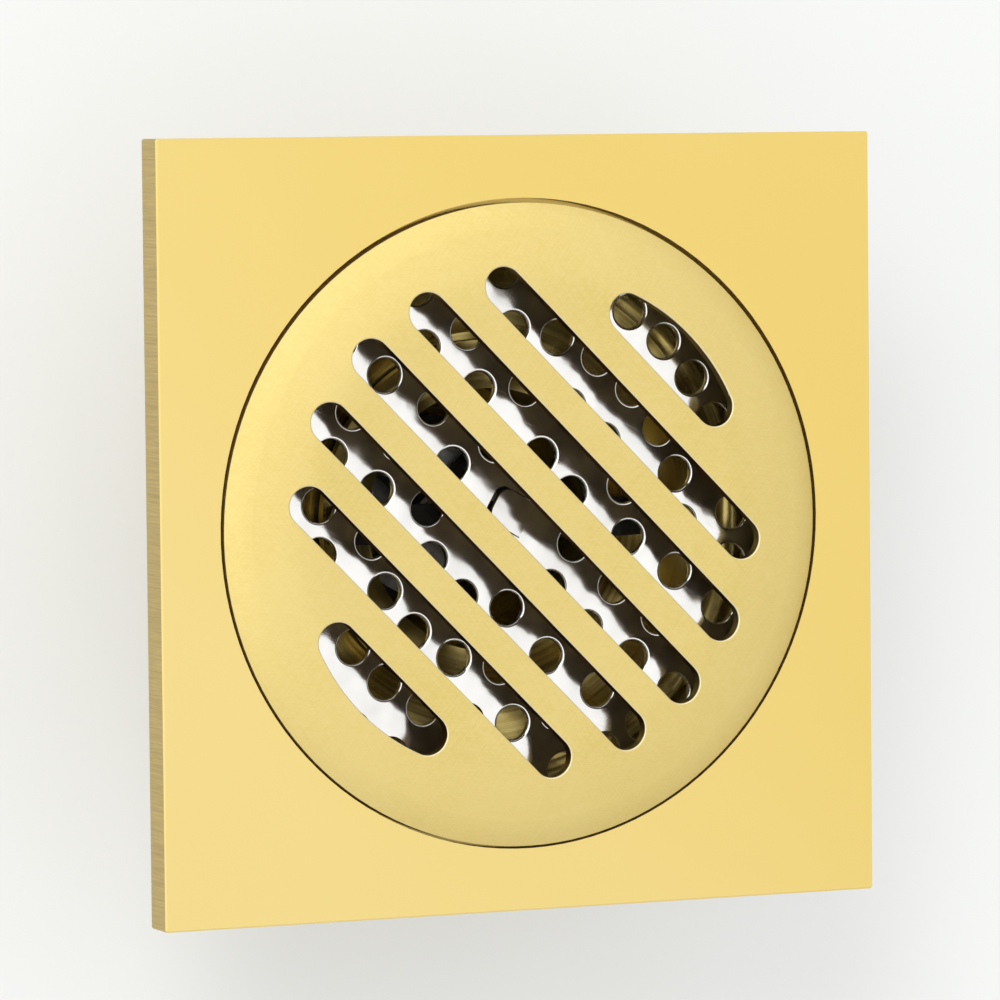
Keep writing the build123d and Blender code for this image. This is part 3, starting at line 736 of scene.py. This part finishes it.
# %% Valve spring
spring_low, spring_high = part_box("valve_spring")
spring_wire = 0.25 * MM
spring_turns = 7.0
spring_rise = spring_high.z - spring_low.z - 2 * spring_wire
spring = make_piece("coil_spring", bpy.data.meshes.new("nothing"), coil, {
    "Radius": (spring_high.x - spring_low.x) / 2 - spring_wire,
    "Wire": spring_wire, "Bottom": spring_low.z + spring_wire, "Rise": spring_rise, "Turns": spring_turns,
    "Even": 2 * spring_wire * spring_turns / spring_rise, "Finish": finishes["screw_steel"],
})
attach(spring, "core")
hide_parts("valve_spring")
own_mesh(spring)

# %% [markdown]
# Four screws hold the body up to the plate from below, each with a washer under its head. The head is turned,
# a cross is cut into it and a thread runs up the shank. One tree cuts the cross, adds the thread and puts a
# screw on each corner; the washers use its last step only, so that step is a tree of its own.

# %% Tree that puts a fastener on each corner
def make_corners():
    tree, given, finish = start_shape("on_corners", {"Place": 0.035, "Height": 0.0})
    away = sums(tree, "MULTIPLY", given["Place"], math.sqrt(2.0))
    circle = add(tree, "GeometryNodeMeshCircle", {"Vertices": 4, "Radius": away}).outputs[0]
    turn = add(tree, "FunctionNodeEulerToRotation", {0: (0.0, 0.0, math.radians(45.0))}).outputs[0]
    up = add(tree, "ShaderNodeCombineXYZ", {2: given["Height"]}).outputs[0]
    turned = {"Geometry": circle, "Rotation": turn, "Translation": up}
    places = {"Points": add(tree, "GeometryNodeTransform", turned).outputs[0], "Instance": given["Geometry"]}
    finish(add(tree, "GeometryNodeInstanceOnPoints", places).outputs[0])
    return tree


corners = make_corners()
print("a fastener on each corner takes", inputs_of(corners))

# %% Screws
screws_low, screws_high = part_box("flange_screws")
washers_low, washers_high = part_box("screw_washers")
head_radius = 2.75 * MM
head_height = 2.0 * MM
screw_radius = 1.5 * MM
thread_height = 0.22 * MM
thread_pitch = 0.5 * MM
thread_run_in = 0.8 * MM
crown_round = 0.9 * MM
head_edge = 0.15 * MM
neck = 0.2 * MM
screw_tip = 0.3 * MM
screw_place = screws_high.x - head_radius
screw_length = screws_high.z - screws_low.z


def turned_screw(sides=40):
    """Screw standing on its head at z = 0, its top edge bevelled, without cross or thread."""
    core = screw_radius - thread_height
    crown = arc((head_radius - crown_round, crown_round), crown_round, -90, 0, 6)
    seat = arc((head_radius - head_edge, head_height - head_edge), head_edge, 0, 90, 3)
    shank = [(core + head_edge, head_height), (core, head_height + neck), (core, screw_length - screw_tip)]
    end = [(core - screw_tip, screw_length), (0, screw_length)]
    shape = bmesh.new()
    turn_outline(shape, [(0, 0), *crown, *seat, *shank, *end], sides)
    return as_mesh("turned_screw", shape)


def make_screws():
    sizes = {"Cross length": 0.0032, "Cross width": 0.0008, "Cross depth": 0.001}
    sizes |= {"Thread radius": 0.0013, "Thread wire": 0.0002, "Thread start": 0.0025}
    sizes |= {"Thread rise": 0.005, "Pitch": 0.0005, "Place": 0.035, "Height": 0.0}
    tree, given, finish = start_shape("flange_screws", sizes)
    twice = sums(tree, "MULTIPLY", given["Cross depth"], 2.0)
    bars = []
    for along, across in ((0, 1), (1, 0)):
        size = {along: given["Cross length"], across: given["Cross width"], 2: twice}
        size = add(tree, "ShaderNodeCombineXYZ", size).outputs[0]
        bars.append(add(tree, "GeometryNodeMeshCube", {0: size}).outputs[0])
    cut = add(tree, "GeometryNodeMeshBoolean", operation="DIFFERENCE")
    fill(tree, cut, {"Mesh 1": given["Geometry"]})
    for bar in bars:
        tree.links.new(bar, cut.inputs["Mesh 2"])
    turns = sums(tree, "DIVIDE", given["Thread rise"], given["Pitch"])
    helix = {"Radius": given["Thread radius"], "Wire": given["Thread wire"], "Bottom": given["Thread start"]}
    helix |= {"Rise": given["Thread rise"], "Turns": turns, "Sides": 6, "Finish": given["Finish"]}
    thread = add(tree, "GeometryNodeGroup", helix, node_tree=coil).outputs[0]
    screw = {"Geometry": join(tree, cut.outputs[0], thread)}
    screw |= {size: given[size] for size in ("Place", "Height", "Finish")}
    finish(add(tree, "GeometryNodeGroup", screw, node_tree=corners).outputs[0])
    return tree


screws = make_piece("cross_head_screws", turned_screw(), make_screws(), {
    "Cross length": 3.2 * MM, "Cross width": 0.8 * MM, "Cross depth": 1.0 * MM,
    "Thread radius": screw_radius - thread_height, "Thread wire": thread_height, "Pitch": thread_pitch,
    "Thread start": head_height + thread_run_in,
    "Thread rise": screw_length - head_height - 2 * thread_run_in,
    "Place": screw_place, "Height": screws_low.z, "Finish": finishes["screw_steel"],
})
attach(screws, "drain")
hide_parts("flange_screws")

# %% [markdown]
# A washer is stamped from sheet, so it is round on the side where the die came in and sharp on the other.

# %% Washers
washer_radius = 3.2 * MM
washer_bore = 1.7 * MM


def stamped_washer(sides=40):
    """Flat ring with its upper edges rounded by stamping, lower side at z = 0."""
    top = washers_high.z - washers_low.z
    round_edge = 0.2 * MM
    outer = arc((washer_radius - round_edge, top - round_edge), round_edge, 0, 90, 4)
    inner = arc((washer_bore + round_edge, top - round_edge), round_edge, 90, 180, 4)
    shape = bmesh.new()
    turn_outline(shape, [(washer_bore, 0), (washer_radius, 0), *outer, *inner], sides, closed=True)
    return as_mesh("stamped_washer", shape)


washers = make_piece("stamped_washers", stamped_washer(), corners, {
    "Place": washers_high.x - washer_radius, "Height": washers_low.z, "Finish": finishes["screw_steel"],
})
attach(washers, "drain")
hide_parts("screw_washers")

# %% [markdown]
# The floor is pale and plain. Most of the light is the air itself: a pale tent all round the drain, brighter
# towards the upper left, because polished metal shows whatever surrounds it, and a tent gives it soft changes
# and no hard edges. One large soft lamp on that side adds the shadow; the metals don't mirror it, as it would
# stand in them as a glaring square. The floor shows the eye and the metal a little light of its own, so that it
# stays pale near the drain, and it still takes the shadow.

# %% Floor
floor_own_light = 0.26


def lay_floor():
    mesh = bpy.data.meshes.new("floor")
    reach = 4.0
    corner_points = [(-reach, -reach, 0), (reach, -reach, 0), (reach, reach, 0), (-reach, reach, 0)]
    mesh.from_pydata(corner_points, [], [(0, 1, 2, 3)])
    floor = bpy.data.objects.new("floor", mesh)
    bpy.context.scene.collection.objects.link(floor)
    material = bpy.data.materials.new("pale_floor")
    material.use_nodes = True
    tree = material.node_tree
    tree.nodes.clear()
    place = add(tree, "ShaderNodeTexCoord").outputs["Object"]
    drift = cloud(tree, place, 6.0)
    tone = blend_colours(tree, drift, (0.725, 0.735, 0.725, 1), (0.755, 0.76, 0.755, 1))
    seen = add(tree, "ShaderNodeLightPath").outputs
    either = sums(tree, "MAXIMUM", seen["Is Camera Ray"], seen["Is Glossy Ray"])
    shown = sums(tree, "MAXIMUM", either, seen["Is Transmission Ray"])
    own = sums(tree, "MULTIPLY", shown, floor_own_light)
    dimmed = blend_colours(tree, own, tone, (0, 0, 0, 1))
    matt = add(tree, "ShaderNodeBsdfDiffuse", {"Color": dimmed})
    glow = add(tree, "ShaderNodeEmission", {"Color": (0.97, 0.985, 0.965, 1), "Strength": own})
    both = add(tree, "ShaderNodeAddShader", {0: matt.outputs[0], 1: glow.outputs[0]})
    add(tree, "ShaderNodeOutputMaterial", {"Surface": both.outputs[0]})
    mesh.materials.append(material)
    return floor


print("floor laid:", lay_floor().name)

# %% Air and lamp
bright_side = Vector((-0.5, 0.6, 0.62)).normalized()
air_level = 0.90
air_slope = 0.19
bright_side_gain = 0.43
brightest_air = 1.30


def light_the_air():
    world = bpy.data.worlds.new("studio")
    bpy.context.scene.world = world
    world.use_nodes = True
    tree = world.node_tree
    tree.nodes.clear()
    way = add(tree, "ShaderNodeTexCoord").outputs["Generated"]
    both = {0: way, 1: bright_side}
    towards = add(tree, "ShaderNodeVectorMath", both, operation="DOT_PRODUCT").outputs["Value"]
    ahead = sums(tree, "MAXIMUM", towards, 0.0)
    slope = sums(tree, "MULTIPLY_ADD", towards, air_slope, air_level)
    strength = sums(tree, "MULTIPLY_ADD", sums(tree, "MULTIPLY", ahead, ahead), bright_side_gain, slope)
    strength = sums(tree, "MINIMUM", strength, brightest_air)
    air = add(tree, "ShaderNodeBackground", {"Color": (0.99, 0.995, 1, 1), "Strength": strength})
    add(tree, "ShaderNodeOutputWorld", {"Surface": air.outputs[0]})


def soft_box(name, direction, distance, width, brightness):
    """Square lamp of a given side, facing the drain, whose surface has a given brightness."""
    lamp = bpy.data.lights.new(name, "AREA")
    lamp.shape = "SQUARE"
    lamp.size = width
    lamp.energy = brightness * math.pi * width * width
    stand = bpy.data.objects.new(name, lamp)
    stand.visible_glossy = False
    aim = Vector(direction).normalized()
    stand.location = Vector((0, 0, face_z)) + aim * distance
    stand.rotation_mode = "QUATERNION"
    stand.rotation_quaternion = aim.to_track_quat("Z", "Y")
    bpy.context.scene.collection.objects.link(stand)


light_the_air()
soft_box("left_box", direction=(-0.46, 0.46, 0.76), distance=1.3, width=0.45, brightness=9.0)

# %% [markdown]
# The camera looks down from the left with a long lens, as for a catalogue shot: about 0.83 m away, a little
# over 65 degrees above the floor, with the plate's far edge level in view.

# %% Camera
def set_camera():
    data = bpy.data.cameras.new("camera")
    data.lens = 233.5
    data.sensor_width = 36.0
    camera = bpy.data.objects.new("camera", data)
    forward = Vector((0.40349, -0.05809, -0.91314)).normalized()
    right = forward.cross(Vector((0.03257, 0.99826, -0.04912))).normalized()
    up = right.cross(forward)
    turn = Matrix((right, up, -forward)).transposed().to_4x4()
    stand = Vector((-0.3396, 0.0516, face_z + 0.7609))
    camera.matrix_world = Matrix.Translation(stand) @ turn
    bpy.context.scene.collection.objects.link(camera)
    bpy.context.scene.camera = camera
    return camera


print("camera at", [round(v, 3) for v in set_camera().location])
bpy.context.scene.view_settings.view_transform = "Standard"
